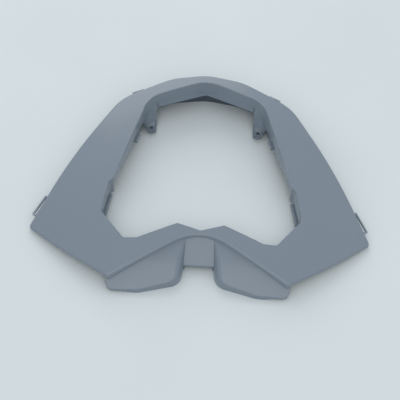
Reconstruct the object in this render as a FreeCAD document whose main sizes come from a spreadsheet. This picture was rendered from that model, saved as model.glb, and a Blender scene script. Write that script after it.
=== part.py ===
"""Scooter front apron: one moulded shell that frames a headlamp window.

The panel lies face up as it comes to rest on a table: +Z out of its painted face, +Y towards the
arch over the lamp, and X = 0 its plane of symmetry. The table is Z = 0. Sizes are in millimetres
and degrees. Corner sizes of the outlines are the corners before they are rounded. A size written as a
formula follows the sizes it names.
"""
import FreeCAD, Part

import math
import os

import Sketcher

Vec = FreeCAD.Vector

SIZES = {
    # moulding
    "wall": 2.5,
    "edge_round": 2.0,
    "window_edge": 1.0,
    "overrun": 10.0,
    # crowned painted face: a radius across the panel and a larger one along it
    "crown_top": 41.2,
    "crown_across": 600.0,
    "crown_along": 1800.0,
    "crown_summit_y": 140.0,
    "crown_depth": 90.0,
    "crown_half_width": 190.0,
    "crown_sweep": 12.0,
    # outline of the face, from the top of the arch round to the hem
    "arch_y": 123.3,
    "arch_round": 60.0,
    "brow_x": 38.0,
    "brow_y": 117.0,
    "brow_round": 60.0,
    "shoulder_x": 91.0,
    "shoulder_y": 90.5,
    "shoulder_round": 50.0,
    "flank_x": 136.8,
    "flank_y": 18.5,
    "flank_round": 600.0,
    "tip_x": 171.5,
    "tip_y": -57.5,
    "tip_round": 4.0,
    "hem_x": 131.0,
    "hem_y": -88.3,
    "hem_round": 400.0,
    "hem_end_x": 85.0,
    "hem_end_y": -115.7,
    # headlamp window and the collar that hangs from its edge
    "window_top_y": 114.8,
    "window_top_round": 40.0,
    "window_brow_x": 60.8,
    "window_brow_y": 90.7,
    "window_brow_round": 30.0,
    "notch_in_x": 90.3,
    "notch_in_y": -9.5,
    "notch_out_x": 94.2,
    "notch_out_y": -12.5,
    "notch_round": 6.0,
    "window_side_x": 99.7,
    "window_side_y": -44.9,
    "window_side_round": 8.0,
    "window_foot_out_x": 75.6,
    "window_foot_in_x": 62.0,
    "window_foot_y": -74.3,
    "window_foot_round": 5.0,
    "window_peak_x": 23.1,
    "window_peak_y": -58.2,
    "window_peak_round": 3.0,
    "window_dip_y": -65.3,
    "collar_depth": 22.0,
    "collar_slack": 0.5,
    "collar_notch_z": 21.2,
    "collar_brow_y": 58.0,
    "collar_brow_z": 13.2,
    # crease where the face rolls over and steps down to the pods
    "crease_y": -62.6,
    "crease_round": 48.0,
    "crease_fall": 31.4,
    "crease_far_x": "=crown_half_width + overrun",
    "crease_far_y": "=crease_y - crease_far_x * tan(crease_fall)",
    "crease_floor_y": "=crown_summit_y - crown_along * sin(crown_sweep) - overrun",
    "crease_roll": 3.0,
    "crease_roll_far": 10.0,
    "crease_inner_edge": 2.0,
    # pods below the crease
    "pod_in_x": 12.2,
    "pod_in_y": -63.4,
    "pod_corner_x": 16.6,
    "pod_corner_y": -111.6,
    "pod_corner_round": 14.0,
    "pod_keel_x": 58.0,
    "pod_keel_y": -122.5,
    "pod_keel_round": 25.0,
    "pod_lip_end_x": 68.0,
    "pod_tab_x": 86.5,
    "pod_tab_round": 5.0,
    "pod_end_x": 91.0,
    "pod_end_y": -112.0,
    "pod_back_x": 86.0,
    "pod_back_y": -108.5,
    "pod_way_in_y": -54.0,
    "pod_way_out_y": -100.0,
    "pod_face_y": -95.6,
    "pod_face_z": 17.2,
    "pod_face_tilt": 19.5,
    "pod_bulge": 200.0,
    "pod_root_edge": 0.8,
    "pod_flank_edge": 8.0,
    "pod_keel_edge": 2.5,
    "pod_tab_edge": 0.8,
    # sloping strip between the pods
    "strip_half_width": 20.0,
    "strip_back_y": -66.0,
    "strip_back_z": 27.0,
    "strip_end_y": -94.0,
    "strip_end_z": 9.5,
    "strip_way_back": 10.8,
    "strip_way_end": 15.2,
    # screw towers in the upper corners of the window
    "tower_x": 58.0,
    "tower_y": 75.5,
    "tower_r": 4.6,
    "tower_flare": 28.0,
    "tower_lean": 12.0,
    "tower_root": 4.0,
    "tower_height": 31.0,
    "tower_wall": 1.8,
    "tower_floor": 4.5,
    "tower_rim": 6.0,
    "tower_hole_r": 2.1,
    "tower_edge_x": 52.5,
    "tower_mouth": 1.0,
    # slotted loops on the skirt, each placed along its edge from a corner of the outline
    "seat": 2.2,
    "loop_bar": 1.4,
    "loop_thick": 2.4,
    "loop_drop": 3.0,
    "upper_loop_at": 38.6,
    "upper_loop_length": 13.0,
    "upper_loop_reach": 2.8,
    "lower_loop_at": 58.0,
    "lower_loop_length": 25.0,
    "lower_loop_reach": 3.9,
    # ledges that stand in from the foot of the collar
    "ledge_thick": 2.0,
    "ledge_reach": 3.2,
    "ledge_lift": 2.5,
    "lower_ledge_at": 17.5,
    "lower_ledge_length": 26.0,
    "upper_ledge_at": 64.4,
    "upper_ledge_length": 11.0,
    # flared lip under the arch
    "lip_length": 58.0,
    "lip_cross": 2.0,
    "lip_width": 6.5,
    "lip_thick": 2.2,
    "lip_tilt": 45.0,
    "lip_top_z": 25.5,
}

NEAR = 0.01

doc = FreeCAD.newDocument("apron")
dims = doc.addObject("Spreadsheet::Sheet", "dims")
for row, (alias, number) in enumerate(SIZES.items(), start=1):
    dims.set(f"A{row}", alias)
    dims.set(f"B{row}", str(number))
    dims.setAlias(f"B{row}", alias)
doc.recompute()


def size(alias):
    return float(dims.get(alias))


def corner(name):
    return Vec(size(name + "_x"), size(name + "_y"), 0)


def bind(thing, **texts):
    """Tie properties to the sheet. A double underscore in a name stands for a dot."""
    for prop, text in texts.items():
        thing.setExpression(prop.replace("__", "."), text)
    return thing


def outline(name, corners, z="0"):
    """Closed sketch through (x, side, y, round) corners named by their cells, rounded by arcs."""
    sketch = doc.addObject("Sketcher::SketchObject", name)
    bind(sketch, Placement__Base__z=z)
    points = [Vec(side * size(x) if x else 0.0, size(y), 0.0) for x, side, y, _ in corners]
    radii = [size(radius) if radius else 0.0 for *_, radius in corners]
    arrive, crown_of_arc, leave = [], [], []
    for i, point in enumerate(points):
        back = (points[i - 1] - point).normalize()
        ahead = (points[(i + 1) % len(points)] - point).normalize()
        half_turn = (math.pi - back.getAngle(ahead)) / 2
        reach = radii[i] * math.tan(half_turn)
        arrive.append(point + back * reach)
        leave.append(point + ahead * reach)
        inwards = (back + ahead).normalize() if radii[i] else Vec()
        crown_of_arc.append(point + inwards * (radii[i] / math.cos(half_turn) - radii[i]))
    lines = []
    for i in range(len(points)):
        lines.append(sketch.addGeometry(Part.LineSegment(leave[i], arrive[(i + 1) % len(points)])))
    for i, (x, side, y, radius) in enumerate(corners):
        before, after = lines[i - 1], lines[i]
        spot = (after, 1)
        if radius:
            arc = sketch.addGeometry(Part.Arc(arrive[i], crown_of_arc[i], leave[i]))
            starts_here = sketch.getPoint(arc, 1).distanceToPoint(arrive[i]) < NEAR
            first, last = (1, 2) if starts_here else (2, 1)
            sketch.addConstraint(Sketcher.Constraint("Tangent", before, 2, arc, first))
            sketch.addConstraint(Sketcher.Constraint("Tangent", arc, last, after, 1))
            held = sketch.addConstraint(Sketcher.Constraint("Radius", arc, radii[i]))
            sketch.setExpression(f"Constraints[{held}]", f"dims.{radius}")
            spot = (sketch.addGeometry(Part.Point(points[i]), True), 1)
            sketch.addConstraint(Sketcher.Constraint("PointOnObject", *spot, before))
            sketch.addConstraint(Sketcher.Constraint("PointOnObject", *spot, after))
        else:
            sketch.addConstraint(Sketcher.Constraint("Coincident", before, 2, after, 1))
        if x:
            held = sketch.addConstraint(Sketcher.Constraint("DistanceX", -1, 1, *spot, points[i].x))
            sketch.setExpression(f"Constraints[{held}]", f"{side} * dims.{x}")
        else:
            sketch.addConstraint(Sketcher.Constraint("PointOnObject", *spot, -2))
        held = sketch.addConstraint(Sketcher.Constraint("DistanceY", -1, 1, *spot, points[i].y))
        sketch.setExpression(f"Constraints[{held}]", f"dims.{y}")
    return sketch


def both_sides(on_axis, half, last_on_axis=None):
    """Corners of a symmetric outline from those of its right half and the ones on its axis."""
    right = [(x, 1, y, radius) for x, y, radius in half]
    left = [(x, -1, y, radius) for x, y, radius in reversed(half)]
    foot = [(None, 1, *last_on_axis)] if last_on_axis else []
    return [(None, 1, *on_axis)] + right + foot + left


def inset(name, base, distance):
    ring = doc.addObject("Part::Offset2D", name)
    ring.Source = base
    ring.Join = "Intersection"
    return bind(ring, Value=distance)


def upright(name, base, height="dims.crown_top + dims.overrun"):
    solid = doc.addObject("Part::Extrusion", name)
    solid.Base = base
    solid.DirMode = "Custom"
    solid.Dir = Vec(0, 0, 1)
    solid.Solid = True
    return bind(solid, LengthFwd=height)


def box(name, low, high):
    solid = doc.addObject("Part::Box", name)
    for side, along, start, end in zip(("Length", "Width", "Height"), "xyz", low, high):
        solid.setExpression(side, f"({end}) - ({start})")
        solid.setExpression(f"Placement.Base.{along}", start)
    return solid


def joined(name, *solids):
    whole = doc.addObject("Part::MultiFuse", name)
    whole.Shapes = solids
    return whole


def less(name, base, tool):
    rest = doc.addObject("Part::Cut", name)
    rest.Base = base
    rest.Tool = tool
    return rest


def shared(name, base, tool):
    part = doc.addObject("Part::Common", name)
    part.Base = base
    part.Tool = tool
    return part


def mirrored(name, base):
    twin = doc.addObject("Part::Mirroring", name)
    twin.Source = base
    twin.Normal = Vec(1, 0, 0)
    return twin


def rounded(name, base, picks):
    solid = doc.addObject("Part::Fillet", name)
    solid.Base = base
    solid.Edges = picks
    return solid


def chamfered(name, base, picks):
    solid = doc.addObject("Part::Chamfer", name)
    solid.Base = base
    solid.Edges = picks
    return solid


def crown(name, drop):
    """Solid under the crowned face, lowered square to that face by drop."""
    sketch = doc.addObject("Sketcher::SketchObject", name + "_profile")
    sketch.Placement.Rotation = FreeCAD.Rotation(Vec(1, 0, 0), 90)
    bind(sketch, Placement__Base__y="dims.crown_summit_y")
    radius, top, half = size("crown_across"), size("crown_top"), size("crown_half_width")
    low = top - size("crown_depth")
    edge = top - radius + math.sqrt(radius ** 2 - half ** 2)
    corners = [Vec(half, edge, 0), Vec(half, low, 0), Vec(-half, low, 0), Vec(-half, edge, 0)]
    for start, end in zip(corners, corners[1:]):
        sketch.addGeometry(Part.LineSegment(start, end))
    arc = sketch.addGeometry(Part.Arc(corners[3], Vec(0, top, 0), corners[0]))
    right_end, left_end = (1, 2) if sketch.getPoint(arc, 1).x > 0 else (2, 1)
    for fixed in (("Coincident", 0, 2, 1, 1), ("Coincident", 1, 2, 2, 1), ("Coincident", 2, 2, arc, left_end),
                  ("Coincident", arc, right_end, 0, 1), ("Vertical", 0), ("Vertical", 2), ("Horizontal", 1),
                  ("PointOnObject", arc, 3, -2)):
        sketch.addConstraint(Sketcher.Constraint(*fixed))
    for kind, where, value, text in (
            ("Radius", (arc,), radius, f"dims.crown_across - ({drop})"),
            ("DistanceY", (-1, 1, arc, 3), top - radius, "dims.crown_top - dims.crown_across"),
            ("DistanceX", (-1, 1, 0, 1), half, "dims.crown_half_width"),
            ("DistanceX", (-1, 1, 2, 1), -half, "-dims.crown_half_width"),
            ("DistanceY", (-1, 1, 1, 1), low, "dims.crown_top - dims.crown_depth")):
        held = sketch.addConstraint(Sketcher.Constraint(kind, *where, value))
        sketch.setExpression(f"Constraints[{held}]", text)
    solid = doc.addObject("Part::Revolution", name)
    solid.Source = sketch
    solid.Axis = Vec(1, 0, 0)
    solid.Solid = True
    return bind(solid, Angle="dims.crown_sweep", Base__y="dims.crown_summit_y",
                Base__z="dims.crown_top - dims.crown_along")


def skin_z(spot):
    """Height of the painted face over a point of the plan."""
    ring = math.sqrt(size("crown_across") ** 2 - spot.x ** 2) + size("crown_along") - size("crown_across")
    rise = math.sqrt(ring ** 2 - (spot.y - size("crown_summit_y")) ** 2)
    return size("crown_top") - size("crown_along") + rise


def middle(edge):
    return edge.valueAt(sum(edge.ParameterRange) / 2)


def top_edges(base, plan, floor):
    """Numbered edges over a plan outline that run along it, higher than floor."""
    level = plan.Shape.BoundBox.ZMin
    found = []
    for number, edge in enumerate(base.Shape.Edges, start=1):
        spot = middle(edge)
        step = edge.Vertexes[0].Point - edge.Vertexes[-1].Point
        gap = plan.Shape.distToShape(Part.Vertex(spot.x, spot.y, level))[0]
        if spot.z > floor and gap < NEAR and math.hypot(step.x, step.y) > NEAR:
            found.append((number, edge))
    return found


def even(edges, radius):
    return [(number, radius, radius) for number, _ in edges]


# crowned face with the crease rolled into it, and the same shape a wall lower for the hollow inside
crease_outline = outline("crease_outline", both_sides(("crease_y", "crease_round"), [
    ("crease_far_x", "crease_far_y", None),
    ("crease_far_x", "crease_floor_y", None),
]), "-dims.crown_depth")
crease_inset = inset("crease_inset", crease_outline, "dims.wall")
crease_height = "dims.crown_depth + dims.crown_top + dims.overrun"
crease_block = upright("crease_block", crease_outline, crease_height)
crease_inner_block = upright("crease_inner_block", crease_inset, crease_height)
crown_outer = crown("crown_outer", "0")
crown_inner = crown("crown_inner", "dims.wall")
crown_stepped = less("crown_stepped", crown_outer, crease_block)
inner_stepped = less("inner_stepped", crown_inner, crease_inner_block)
doc.recompute()
crown_floor = size("crown_top") - size("crown_depth")


def crest_rounds(edges):
    """Radii along the crease: tight at its middle, wider towards its far ends."""
    picks = []
    for number, edge in edges:
        reach = [abs(edge.valueAt(limit).x) for limit in edge.ParameterRange]
        radii = [size("crease_roll_far") if x > size("tip_x") else size("crease_roll") for x in reach]
        picks.append((number, *radii))
    return picks


outer_crest = top_edges(crown_stepped, crease_outline, crown_floor)
crown_rolled = rounded("crown_rolled", crown_stepped, crest_rounds(outer_crest))
inner_crest = top_edges(inner_stepped, crease_inset, crown_floor)
inner_eased = chamfered("inner_eased", inner_stepped, even(inner_crest, size("crease_inner_edge")))

# face cut to its outline, with the headlamp window through it
apron_outline = outline("apron_outline", both_sides(("arch_y", "arch_round"), [
    ("brow_x", "brow_y", "brow_round"),
    ("shoulder_x", "shoulder_y", "shoulder_round"),
    ("flank_x", "flank_y", "flank_round"),
    ("tip_x", "tip_y", "tip_round"),
    ("hem_x", "hem_y", "hem_round"),
    ("hem_end_x", "hem_end_y", None),
]))
window_outline = outline("window_outline", both_sides(("window_top_y", "window_top_round"), [
    ("window_brow_x", "window_brow_y", "window_brow_round"),
    ("notch_in_x", "notch_in_y", "notch_round"),
    ("notch_out_x", "notch_out_y", "notch_round"),
    ("window_side_x", "window_side_y", "window_side_round"),
    ("window_foot_out_x", "window_foot_y", "window_foot_round"),
    ("window_foot_in_x", "window_foot_y", "window_foot_round"),
    ("window_peak_x", "window_peak_y", "window_peak_round"),
], ("window_dip_y", "window_peak_round")))
apron_block = upright("apron_block", apron_outline)
window_block = upright("window_block", window_outline)
main_block = shared("main_block", apron_block, crown_rolled)
main_open = less("main_open", main_block, window_block)
doc.recompute()
outer_rim = top_edges(main_open, apron_outline, NEAR)
main_soft = rounded("main_soft", main_open, even(outer_rim, size("edge_round")))
doc.recompute()
window_rim = top_edges(main_soft, window_outline, NEAR)
main_eased = chamfered("main_eased", main_soft, even(window_rim, size("window_edge")))

# pods: a bulging face over a plan outline, with the outer end of the keel left as an open tab
pod_front = [
    ("pod_end_x", 1, "pod_end_y", None),
    ("pod_tab_x", 1, "pod_keel_y", "pod_tab_round"),
    ("pod_lip_end_x", 1, "pod_keel_y", None),
    ("pod_keel_x", 1, "pod_keel_y", "pod_keel_round"),
    ("pod_corner_x", 1, "pod_corner_y", "pod_corner_round"),
]
pod_back = [("pod_in_x", 1, "pod_in_y", None), ("pod_back_x", 1, "pod_back_y", None)]
pod_way = [("pod_in_x", 1, "pod_way_in_y", None), ("pod_back_x", 1, "pod_way_out_y", None)]
pod_outline = outline("pod_outline", pod_back + pod_front)
pod_way_outline = outline("pod_way_outline", pod_way + pod_front)


def dome(name, drop):
    """Solid under the bulging face of a pod, lowered by drop."""
    solid = doc.addObject("Part::Cylinder", name)
    solid.Placement.Rotation = FreeCAD.Rotation(Vec(0, 1, 0), 90)
    return bind(solid, Radius=f"dims.pod_bulge - ({drop})", Height="dims.pod_end_x + dims.overrun",
                Placement__Base__y="dims.pod_face_y + dims.pod_bulge * sin(dims.pod_face_tilt)",
                Placement__Base__z="dims.pod_face_z - dims.pod_bulge * cos(dims.pod_face_tilt)")


pod_block = shared("pod_block", upright("pod_prism", pod_outline), dome("pod_dome", "0"))
doc.recompute()


def pod_rounds(edges):
    """Radii along a pod's top edge: growing down the strip, less on the keel, crisp on the tab, none behind."""
    picks = []
    half_way = (size("pod_in_y") + size("pod_corner_y")) / 2
    back = corner("pod_back")
    for number, edge in edges:
        spot = middle(edge)
        foot = Vec(spot.x, spot.y, 0)
        if min(foot.distanceToLine(back, corner(end) - back) for end in ("pod_in", "pod_end")) < NEAR:
            continue
        radii = []
        for limit in edge.ParameterRange:
            end = edge.valueAt(limit)
            place = "keel"
            if end.x < size("pod_corner_x"):
                place = "root" if end.y > half_way else "flank"
            elif end.x > size("pod_lip_end_x") - NEAR:
                place = "tab"
            radii.append(size(f"pod_{place}_edge"))
        picks.append((number, *radii))
    return picks


pod_soft = rounded("pod_soft", pod_block, pod_rounds(top_edges(pod_block, pod_outline, NEAR)))
pod_twin = mirrored("pod_twin", pod_soft)
pod_way_prism = upright("pod_way_prism", inset("pod_way_inset", pod_way_outline, "-dims.wall"))
tab_way = box("tab_way", ("dims.pod_lip_end_x", "dims.pod_keel_y - dims.overrun", "0"),
              ("dims.pod_end_x + dims.overrun", "dims.pod_back_y", "dims.crown_top"))
pod_way_plan = joined("pod_way_plan", pod_way_prism, tab_way)
pod_hollow = shared("pod_hollow", pod_way_plan, dome("pod_hollow_dome", "dims.wall"))
pod_hollow_twin = mirrored("pod_hollow_twin", pod_hollow)


def strip_wedge(name, back_half, end_half, past, drop):
    """Wedge under the sloping strip, lowered by drop and running past its lower end."""
    pitch = "(dims.strip_back_z - dims.strip_end_z) / (dims.strip_back_y - dims.strip_end_y)"
    fall = f"({drop}) * sqrt(1 + ({pitch}) ^ 2)"
    solid = doc.addObject("Part::Wedge", name)
    return bind(solid, Xmin=f"-({end_half})", Xmax=end_half, X2min=f"-({back_half})", X2max=back_half,
                Ymin=f"dims.strip_end_y - ({past})", Ymax="dims.strip_back_y",
                Zmin=f"-({past})", Zmax=f"dims.strip_end_z - {fall} - ({past}) * {pitch}",
                Z2min=f"-({past})", Z2max=f"dims.strip_back_z - {fall}")


strip_block = strip_wedge("strip_block", "dims.strip_half_width", "dims.strip_half_width", "0", "0")
strip_hollow = strip_wedge("strip_hollow", "dims.strip_way_back", "dims.strip_way_end",
                           "dims.overrun", "dims.wall")

# shell: the blanks less a hollow that leaves the face, the skirt round the wings and the window collar,
# whose foot follows the face and rises from the towers to the notches
cavity_block = upright("cavity_block", inset("apron_inset", apron_outline, "-dims.wall"))
skirt_ring = less("skirt_ring", apron_block, cavity_block)
skirt_zone = box("skirt_zone", ("-dims.tip_x - dims.overrun", "dims.tip_y", "0"),
                 ("dims.tip_x + dims.overrun", "dims.arch_y + dims.overrun", "dims.crown_top + dims.overrun"))
skirt = shared("skirt", skirt_ring, skirt_zone)
collar_block = upright("collar_block", inset("collar_outline", window_outline, "dims.wall"))
hollows = joined("hollows", inner_eased, strip_hollow, pod_hollow, pod_hollow_twin)
cavity = less("cavity", hollows, joined("kept_walls", skirt, collar_block))
blanks = joined("blanks", main_eased, strip_block, pod_soft, pod_twin)
shell = less("shell", blanks, cavity)
collar_zone_outline = inset("collar_zone_outline", window_outline, "dims.wall + dims.collar_slack")
collar_zone = upright("collar_zone", collar_zone_outline)
collar_foot = shared("collar_foot", collar_zone, crown("collar_floor", "dims.collar_depth"))
collar_wedge = doc.addObject("Part::Wedge", "collar_wedge")
bind(collar_wedge, Xmin="-dims.window_side_x", Xmax="dims.window_side_x",
     X2min="-dims.window_side_x", X2max="dims.window_side_x", Ymin="dims.notch_in_y", Ymax="dims.collar_brow_y",
     Zmin="-dims.overrun", Zmax="dims.collar_notch_z", Z2min="-dims.overrun", Z2max="dims.collar_brow_z")
collar_rise = shared("collar_rise", collar_zone, collar_wedge)
shell_trimmed = less("shell_trimmed", shell, joined("collar_cuts", collar_foot, collar_rise))


def lean_cone(name, trim):
    """Cone that opens upwards from a tower's foot and leans in over the lamp, thinner by trim."""
    solid = doc.addObject("Part::Cone", name)
    solid.Placement.Rotation = FreeCAD.Rotation(Vec(0, -1, 0), size("tower_lean"))
    return bind(solid, Height="dims.tower_root + dims.tower_height",
                Radius1=f"dims.tower_r - ({trim}) - dims.tower_root * tan(dims.tower_flare)",
                Radius2=f"dims.tower_r - ({trim}) + dims.tower_height * tan(dims.tower_flare)",
                Placement__Base__x="dims.tower_x + dims.tower_root * sin(dims.tower_lean)",
                Placement__Base__y="dims.tower_y",
                Placement__Base__z="-dims.tower_root * cos(dims.tower_lean)")


# screw tower: a leaning cone cut open towards the lamp, with a drilled floor in a low rim
tower_blank = shared("tower_blank", lean_cone("tower_outer", "0"), collar_block)
tower_above = box("tower_above", ("0", "0", "dims.tower_floor"),
                  ("dims.notch_out_x", "dims.arch_y", "dims.crown_top"))
tower_hollow = shared("tower_hollow", lean_cone("tower_inner", "dims.tower_wall"), tower_above)
tower_mouth = box("tower_mouth", ("0", "0", "dims.tower_rim"),
                  ("dims.notch_out_x", "dims.tower_y - dims.tower_mouth", "dims.crown_top"))
tower_edge = box("tower_edge", ("0", "0", "-dims.overrun"),
                 ("dims.tower_edge_x", "dims.arch_y", "dims.crown_top"))
tower_bore = doc.addObject("Part::Cylinder", "tower_bore")
bind(tower_bore, Radius="dims.tower_hole_r", Height="dims.crown_top", Placement__Base__x="dims.tower_x",
     Placement__Base__y="dims.tower_y", Placement__Base__z="-dims.overrun")
tower = less("tower", tower_blank, joined("tower_ways", tower_hollow, tower_mouth, tower_edge, tower_bore))


def along(start, end):
    """Direction of a side, the direction to its left, and its turn in degrees."""
    run = (end - start).normalize()
    return run, Vec(-run.y, run.x, 0), math.degrees(math.atan2(run.y, run.x))


def plate(name, sides, first, turn, tilt=0.0):
    """Flat bar from its first corner, with its length along a side and its width to the left of it."""
    solid = doc.addObject("Part::Box", name)
    spin = FreeCAD.Rotation(Vec(0, 0, 1), turn).multiply(FreeCAD.Rotation(Vec(1, 0, 0), tilt))
    solid.Placement = FreeCAD.Placement(first, spin)
    length, width, height = sides
    return bind(solid, Length=length, Width=width, Height=height)


def loop(name, start, end):
    """Slotted loop that stands out from the skirt below the face."""
    run, out, turn = along(start, end)
    spot = start + run * size(name + "_at")
    low = Vec(0, 0, skin_z(spot) - size("loop_drop") - size("loop_thick"))
    first = spot - run * (size(name + "_length") / 2) + low
    whole = (f"dims.{name}_length", f"dims.{name}_reach + dims.seat", "dims.loop_thick")
    open_part = (f"dims.{name}_length - 2 * dims.loop_bar", f"dims.{name}_reach - dims.loop_bar",
                 "dims.crown_top")
    slab = plate(name + "_slab", whole, first - out * size("seat"), turn)
    slot = plate(name + "_slot", open_part, Vec(first.x, first.y, 0) + run * size("loop_bar"), turn)
    return less(name, slab, slot)


def ledge(name, start, end):
    """Narrow shelf that stands into the window from the foot of the collar."""
    run, inwards, turn = along(start, end)
    spot = start + run * size(name + "_at")
    low = Vec(0, 0, skin_z(spot) - size("collar_depth") + size("ledge_lift"))
    first = spot - run * (size(name + "_length") / 2) - inwards * size("seat") + low
    sides = (f"dims.{name}_length", "dims.ledge_reach + dims.seat", "dims.ledge_thick")
    return plate(name, sides, first, turn)


# loops, ledges and the lip, each drawn on the right and mirrored
upper_loop = loop("upper_loop", corner("brow"), corner("shoulder"))
lower_loop = loop("lower_loop", corner("flank"), corner("tip"))
lower_ledge = ledge("lower_ledge", corner("window_side"), corner("notch_out"))
upper_ledge = ledge("upper_ledge", corner("notch_in"), corner("window_brow"))
arch_point = Vec(0, size("window_top_y"), 0)
lip_run, lip_in, lip_turn = along(corner("window_brow"), arch_point)
lip_first = arch_point - lip_run * (size("lip_length") - size("lip_cross")) - lip_in * size("seat")
arch_lip = plate("arch_lip", ("dims.lip_length", "dims.lip_width", "dims.lip_thick"),
                 lip_first + Vec(0, 0, size("lip_top_z")), lip_turn, size("lip_tilt") - 90)
half = joined("half", tower, upper_loop, lower_loop, lower_ledge, upper_ledge, arch_lip)
half_twin = mirrored("half_twin", half)
apron = joined("apron", shell_trimmed, half, half_twin)
apron.Label = "apron_shell"
doc.recompute()

for thing in doc.Objects:
    if {"Invalid", "Error"} & set(thing.State):
        raise RuntimeError(f"{thing.Label} did not build")
if apron.Shape.isNull() or not apron.Shape.isValid() or len(apron.Shape.Solids) != 1:
    raise RuntimeError("the apron is not one sound solid")
os.makedirs("parts", exist_ok=True)
apron.Shape.exportStep(f"parts/{apron.Label}.step")
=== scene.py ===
# %% [markdown]
# # A scooter's front apron
# The object is one moulded panel that frames a scooter's headlamp. It lies face up on a pale cloth.
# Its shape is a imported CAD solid, loaded here as a fixed frame: millimetres there are metres here,
# and +Z is up. What is left for Blender is what the eye reads as "painted plastic": smooth shading,
# a finish with the right gloss, a soft light and the photograph's point of view.

# %% Load the CAD frame
import math

import bpy
from mathutils import Matrix, Vector


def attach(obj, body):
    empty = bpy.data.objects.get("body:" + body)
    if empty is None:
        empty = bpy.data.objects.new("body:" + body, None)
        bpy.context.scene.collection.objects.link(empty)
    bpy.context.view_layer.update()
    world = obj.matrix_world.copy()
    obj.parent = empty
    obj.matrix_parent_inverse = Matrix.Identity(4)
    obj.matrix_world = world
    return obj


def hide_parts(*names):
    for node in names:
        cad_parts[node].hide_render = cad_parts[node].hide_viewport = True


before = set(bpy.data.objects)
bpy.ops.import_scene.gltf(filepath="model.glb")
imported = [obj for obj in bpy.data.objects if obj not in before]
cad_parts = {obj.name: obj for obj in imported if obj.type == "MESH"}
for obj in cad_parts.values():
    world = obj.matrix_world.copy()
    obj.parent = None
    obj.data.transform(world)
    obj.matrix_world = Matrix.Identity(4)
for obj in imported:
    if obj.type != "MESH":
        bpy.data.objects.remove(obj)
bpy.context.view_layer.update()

MM = 0.001
scene = bpy.context.scene
scene.view_settings.view_transform = "Standard"

# %% [markdown]
# ## The camera
# The photograph was taken from in front and above, with a longish lens, and the camera was held a
# little off level. The camera looks along a direction given by its height angle and its turn, is
# rolled about that direction, and stands at a distance from the point it looks at. Working the
# axes out by hand keeps the roll exact, where a Track To constraint would level the camera again.

# %% Place the camera
HEIGHT_ANGLE = math.radians(57.0)
TURN_ANGLE = math.radians(-1.56)
ROLL_ANGLE = math.radians(4.479)
CAMERA_DISTANCE = 900 * MM
AIM_POINT = Vector((-1.8, -24.43, 20.0)) * MM
FOCAL_PIXELS = 891.36
FRAME_PIXELS = 400
SENSOR_WIDTH = 36.0

towards_camera = Vector((
    math.sin(TURN_ANGLE) * math.cos(HEIGHT_ANGLE),
    -math.cos(TURN_ANGLE) * math.cos(HEIGHT_ANGLE),
    math.sin(HEIGHT_ANGLE),
))
level_right = (-towards_camera).cross(Vector((0, 0, 1))).normalized()
level_up = level_right.cross(-towards_camera)
right = level_right * math.cos(ROLL_ANGLE) + level_up * math.sin(ROLL_ANGLE)
up = level_up * math.cos(ROLL_ANGLE) - level_right * math.sin(ROLL_ANGLE)

bpy.ops.object.select_all(action="DESELECT")
bpy.ops.object.camera_add()
camera = bpy.context.object
camera.name = "photo_camera"
camera.data.sensor_width = SENSOR_WIDTH
camera.data.lens = FOCAL_PIXELS / FRAME_PIXELS * SENSOR_WIDTH
camera.data.clip_start = 10 * MM
pose = Matrix((right, up, towards_camera)).transposed().to_4x4()
pose.translation = AIM_POINT + towards_camera * CAMERA_DISTANCE
camera.matrix_world = pose
scene.camera = camera
print("camera lens", round(camera.data.lens, 1), "mm")

# %% [markdown]
# ## Helpers for materials
# Colours are given as sRGB hex values, but shaders work in linear light, so one function
# turns the first into the second. A second one adds a shader node, sets it and links it up, so
# that each finish below reads as a short list of what it is made of.

# %% Colour and node helpers


def colour(hex_code):
    """Linear red, green, blue and full alpha from an sRGB hex value."""
    channels = [int(hex_code[i:i + 2], 16) / 255 for i in (0, 2, 4)]
    return [c / 12.92 if c <= 0.04045 else ((c + 0.055) / 1.055) ** 2.4 for c in channels] + [1.0]


def add_node(tree, kind, values=(), links=(), **settings):
    """Add a node, set its properties and input values, and link other nodes' sockets to its inputs."""
    node = tree.nodes.new(kind)
    for name, value in settings.items():
        setattr(node, name, value)
    for socket, value in dict(values).items():
        node.inputs[socket].default_value = value
    for socket, source in dict(links).items():
        tree.links.new(source, node.inputs[socket])
    return node


def new_material(name):
    """An empty material with its output, its node tree, and the object's own coordinates in millimetres."""
    material = bpy.data.materials.new(name)
    material.use_nodes = True
    tree = material.node_tree
    tree.nodes.clear()
    output = add_node(tree, "ShaderNodeOutputMaterial")
    place = add_node(tree, "ShaderNodeTexCoord")
    in_mm = add_node(tree, "ShaderNodeVectorMath", {1: (1 / MM,) * 3}, {0: place.outputs["Object"]},
                     operation="MULTIPLY")
    return material, tree, output, place, in_mm.outputs[0]


print("helpers ready")

# %% [markdown]
# ## The cloth and the studio light
# The panel lies on pale, faintly blue-grey cloth. A single large plane, wider than any view, stands
# for it. Most of the light is the room's own and comes from all round. A softbox low on the far side
# adds the sheen on the arch. A wide lamp behind the camera brightens the strip and the pods, which face
# it, and leaves the steep roll of the crease darker than they are. The shadows are wide, and deepest
# where the panel's walls meet the cloth.

# %% Floor
FLOOR_SIZE = 8.0
CLOTH_DRIFT = 160.0
# the thread of such a cloth is about 0.4 mm, too fine to show from here, so it is drawn coarser
CLOTH_THREAD = 1.4

bpy.ops.object.select_all(action="DESELECT")
bpy.ops.mesh.primitive_plane_add(size=FLOOR_SIZE)
floor = bpy.context.object
floor.name = "cloth_floor"

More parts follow.
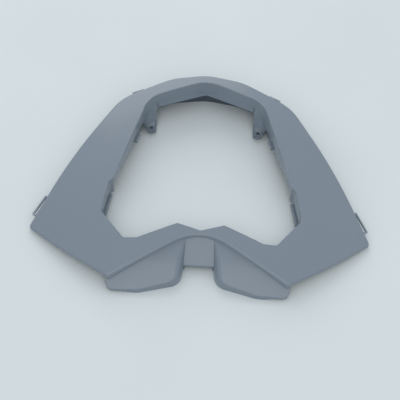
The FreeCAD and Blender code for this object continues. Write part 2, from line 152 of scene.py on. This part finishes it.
cloth, tree, output, place, in_mm = new_material("pale_table_cloth")
drift = add_node(tree, "ShaderNodeTexNoise", {"Scale": 1 / CLOTH_DRIFT, "Detail": 2.0}, {"Vector": in_mm})
tint = add_node(tree, "ShaderNodeMix", {"A": colour("CFD7DA"), "B": colour("D7DFE2")}, data_type="RGBA")
tree.links.new(drift.outputs["Fac"], tint.inputs["Factor"])
weave = add_node(tree, "ShaderNodeTexNoise", {"Scale": 1 / CLOTH_THREAD, "Detail": 1.0}, {"Vector": in_mm})
nap = add_node(tree, "ShaderNodeBump", {"Strength": 0.15, "Distance": 0.2 * MM},
               {"Height": weave.outputs["Fac"]})
surface = add_node(tree, "ShaderNodeBsdfPrincipled", {"Roughness": 0.95, "Specular IOR Level": 0.1},
                   {"Base Color": tint.outputs[2], "Normal": nap.outputs[0]})
tree.links.new(surface.outputs[0], output.inputs["Surface"])
floor.data.materials.append(cloth)
print("floor", FLOOR_SIZE, "m wide, of", cloth.name)

# %% Lights
ROOM_STRENGTH = 0.83
# each lamp has its place and its width in metres, and its power in watts
LAMPS = {
    "far_softbox": ((-0.3, 1.5, 1.0), 1.2, 9.0),
    "near_lamp": ((-0.05, -0.9, 1.4), 1.2, 4.4),
}
bpy.ops.object.select_all(action="DESELECT")
for name, (stand, width, watts) in LAMPS.items():
    bpy.ops.object.light_add(type="AREA", location=stand)
    lamp = bpy.context.object
    lamp.name = name
    lamp.data.size = width
    lamp.data.energy = watts
    lamp.rotation_euler = (-Vector(stand)).to_track_quat("-Z", "Y").to_euler()

world = bpy.data.worlds.new("soft_room")
world.use_nodes = True
world.node_tree.nodes["Background"].inputs["Color"].default_value = colour("F3F6F7")
world.node_tree.nodes["Background"].inputs["Strength"].default_value = ROOM_STRENGTH
scene.world = world
print(len(LAMPS), "lamps and a bright room")

# %% [markdown]
# ## The grey finish
# The panel is ABS, moulded and then sprayed with a grey base coat and a thin clear coat. Four things
# make that read as paint and not as a grey render: a slow drift in tone, a fine fleck, the faint
# waviness that spraying leaves ("orange peel"), and gloss that is a little duller where hands have
# been. Faces that look down were not sprayed and show the mould's own dark, dull grain. The inner side
# of the skirt behind the arch gets the same dark grey and dull grain as painted shade, standing in for
# the deep shadow in the hollow behind the arch. That side is picked out by its place, past a curve that
# follows the arch, and by facing forwards.

# %% Where the spray reached, and where shade is painted
ARCH_BEND = 0.0036
ARCH_BACK = 115.5

paint, tree, output, place, in_mm = new_material("sprayed_grey_abs")
facing = add_node(tree, "ShaderNodeSeparateXYZ", links={0: place.outputs["Normal"]})
inside = add_node(tree, "ShaderNodeMapRange", {"From Min": -0.15, "From Max": -0.45},
                  {"Value": facing.outputs["Z"]})
# painted shade: the skirt's inner side behind the arch, past a curve that follows the arch and facing
# forwards, takes the dark grey and dull grain
spot = add_node(tree, "ShaderNodeSeparateXYZ", links={0: in_mm})
bend = add_node(tree, "ShaderNodeMath", links={0: spot.outputs["X"], 1: spot.outputs["X"]},
                operation="MULTIPLY")
behind = add_node(tree, "ShaderNodeMath", {1: ARCH_BEND}, {0: bend.outputs[0], 2: spot.outputs["Y"]},
                  operation="MULTIPLY_ADD")
past = add_node(tree, "ShaderNodeMath", {1: ARCH_BACK}, {0: behind.outputs[0]}, operation="GREATER_THAN")
inward = add_node(tree, "ShaderNodeMath", {1: -0.3}, {0: facing.outputs["Y"]}, operation="LESS_THAN")
skirt_back_painted_shade = add_node(tree, "ShaderNodeMath", links={0: past.outputs[0], 1: inward.outputs[0]},
                      operation="MULTIPLY")
# one mask for downward faces that were not sprayed and for the painted shade behind the arch
unsprayed_and_painted_shade = add_node(tree, "ShaderNodeMath", links={0: inside.outputs[0], 1: skirt_back_painted_shade.outputs[0]},
                     operation="MAXIMUM")
print("mask for", paint.name, "with", len(tree.nodes), "nodes")

# %% Colour of the paint, of the plastic left unpainted, and of the painted shade
DRIFT_SIZE = 110.0
# the fleck in real paint is under a tenth of a millimetre, so it is drawn as coarse as it needs to show
FLAKE_SIZE = 1.1
FLAKE_SHARE = 0.12

drift = add_node(tree, "ShaderNodeTexNoise", {"Scale": 1 / DRIFT_SIZE, "Detail": 2.0}, {"Vector": in_mm})
flake = add_node(tree, "ShaderNodeTexVoronoi", {"Scale": 1 / FLAKE_SIZE}, {"Vector": in_mm})
flake_tone = add_node(tree, "ShaderNodeSeparateColor", links={0: flake.outputs["Color"]})
base = add_node(tree, "ShaderNodeMix", {"A": colour("6D7A87"), "B": colour("73808D")},
                {"Factor": drift.outputs["Fac"]}, data_type="RGBA")
sparkle = add_node(tree, "ShaderNodeMix", {"B": colour("818E9B")}, {"A": base.outputs[2]}, data_type="RGBA")
sparkle_share = add_node(tree, "ShaderNodeMath", {1: FLAKE_SHARE}, {0: flake_tone.outputs[0]},
                         operation="MULTIPLY")
tree.links.new(sparkle_share.outputs[0], sparkle.inputs["Factor"])
# dark grey for downward faces that were not sprayed; on the skirt's inner side behind the arch the same dark
# grey is painted shade
bare_and_shade_tone = add_node(tree, "ShaderNodeMix", {"B": colour("454F5B")},
                {"A": sparkle.outputs[2], "Factor": unsprayed_and_painted_shade.outputs[0]}, data_type="RGBA")
print("colour added,", len(tree.nodes), "nodes so far")

# %% Gloss, waviness and grain
SMUDGE_SIZE = 32.0
PEEL_WAVE = 3.0
# a mould's grain is about 0.2 mm and is drawn coarser too
MOULD_GRAIN = 0.9

smudge = add_node(tree, "ShaderNodeTexNoise", {"Scale": 1 / SMUDGE_SIZE, "Detail": 4.0}, {"Vector": in_mm})
gloss = add_node(tree, "ShaderNodeMapRange", {"To Min": 0.38, "To Max": 0.46},
                 {"Value": smudge.outputs["Fac"]})
dull = add_node(tree, "ShaderNodeMix", {"B": 0.66}, {"A": gloss.outputs[0], "Factor": unsprayed_and_painted_shade.outputs[0]})
peel = add_node(tree, "ShaderNodeTexNoise", {"Scale": 1 / PEEL_WAVE, "Detail": 1.0}, {"Vector": in_mm})
grain = add_node(tree, "ShaderNodeTexNoise", {"Scale": 1 / MOULD_GRAIN, "Detail": 2.0}, {"Vector": in_mm})
relief = add_node(tree, "ShaderNodeMix", links={"A": peel.outputs["Fac"], "B": grain.outputs["Fac"],
                                                "Factor": unsprayed_and_painted_shade.outputs[0]})
waviness = add_node(tree, "ShaderNodeBump", {"Strength": 0.25, "Distance": 0.03 * MM},
                    {"Height": relief.outputs[0]})
surface = add_node(tree, "ShaderNodeBsdfPrincipled", {"IOR": 1.5, "Coat Weight": 0.6, "Coat Roughness": 0.14},
                   {"Base Color": bare_and_shade_tone.outputs[2], "Roughness": dull.outputs[0],
                    "Normal": waviness.outputs[0]})
tree.links.new(surface.outputs[0], output.inputs["Surface"])
print("finish", paint.name, "with", len(tree.nodes), "nodes")

# %% [markdown]
# ## The panel itself
# A CAD mesh is a bag of loose triangles: each carries its own corners, so light breaks at every edge
# and the crowned face looks cut like a gem. The visible panel is a copy of it. Doubled corners are
# merged, and faces that meet at a small angle are shaded as one smooth surface, while the moulded
# edges stay crisp. Weighting the normals by facet size keeps slivers beside a round from bending the
# light on the large face next to it. The CAD node stays behind the copy for the physics.

# %% Copy, merge and smooth the panel
MERGE_GAP = 0.002 * MM
SMOOTH_UNDER = math.radians(28.0)

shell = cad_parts["apron_shell"]
bpy.ops.object.select_all(action="DESELECT")
shell.select_set(True)
bpy.context.view_layer.objects.active = shell
bpy.ops.object.duplicate()
panel = bpy.context.object
panel.name = "apron_panel"
panel.data.name = "apron_panel"
bpy.ops.object.mode_set(mode="EDIT")
bpy.ops.mesh.select_all(action="SELECT")
bpy.ops.mesh.remove_doubles(threshold=MERGE_GAP)
bpy.ops.object.mode_set(mode="OBJECT")
bpy.ops.object.shade_smooth_by_angle(angle=SMOOTH_UNDER)
bpy.ops.object.modifier_add(type="WEIGHTED_NORMAL")
panel.modifiers[0].keep_sharp = True
bpy.ops.object.modifier_apply(modifier=panel.modifiers[0].name)
print("panel has", len(panel.data.vertices), "points and", len(panel.data.polygons), "faces")

# %% [markdown]
# Averaged normals are only as good as the facets they come from, and in a glossy coat a degree of error
# shows as a patch. The large faces are known exactly: the crown is the outside of a ring (a torus), each
# pod's face is part of a cylinder, and the strip between the pods is flat. Where a facet lies on one of
# them, its corners get the true normal of that shape.

# %% True normals on the crown, the pods and the strip
CROWN_ACROSS = 600 * MM
CROWN_ALONG = 1800 * MM
CROWN_SUMMIT = Vector((0, 140.0, 41.2)) * MM
RING_RADIUS = CROWN_ALONG - CROWN_ACROSS
RING_CENTRE = CROWN_SUMMIT - Vector((0, 0, CROWN_ALONG))
POD_RADIUS = 200 * MM
POD_TILT = math.radians(19.5)
POD_MIDDLE = Vector((0, -95.6, 17.2)) * MM
POD_CENTRE = POD_MIDDLE + POD_RADIUS * Vector((0, math.sin(POD_TILT), -math.cos(POD_TILT)))
STRIP_BACK = Vector((0, -66.0, 27.0)) * MM
STRIP_END = Vector((0, -94.0, 9.5)) * MM
STRIP_NORMAL = Vector((1, 0, 0)).cross(STRIP_BACK - STRIP_END).normalized()
ON_SURFACE = 0.03 * MM
SAME_WAY = math.cos(math.radians(6.0))


def crown_normal(spot):
    """Normal of the crowned face at a point, and how far the point is from that face."""
    arm = Vector((0, spot.y, spot.z)) - RING_CENTRE
    from_tube = Vector((spot.x, 0, 0)) + arm * (1 - RING_RADIUS / arm.length)
    return from_tube.normalized(), abs(from_tube.length - CROWN_ACROSS)


def pod_normal(spot):
    """Normal of a pod's face at a point, and how far the point is from that face."""
    arm = Vector((0, spot.y, spot.z)) - POD_CENTRE
    return arm.normalized(), abs(arm.length - POD_RADIUS)


def strip_normal(spot):
    """Normal of the flat strip, and how far a point is from its plane."""
    return STRIP_NORMAL, abs((spot - STRIP_END).dot(STRIP_NORMAL))


print("crown, pods and strip described")

# %% Set the true normals
mesh = panel.data
normals = [corner.vector.copy() for corner in mesh.corner_normals]
exact = 0
for face in mesh.polygons:
    for true_normal in (crown_normal, pod_normal, strip_normal):
        found = [true_normal(mesh.vertices[i].co) for i in face.vertices]
        if all(gap < ON_SURFACE and face.normal.dot(normal) > SAME_WAY for normal, gap in found):
            exact += 1
            for loop, (normal, _) in zip(face.loop_indices, found):
                normals[loop] = normal
mesh.normals_split_custom_set(normals)
print(exact, "of", len(mesh.polygons), "facets have exact normals")

# %% Dress the panel
panel.data.materials.clear()
panel.data.materials.append(paint)
shell.data.materials[0] = paint
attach(panel, "root")
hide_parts("apron_shell")
print(panel.name, "wears", paint.name)
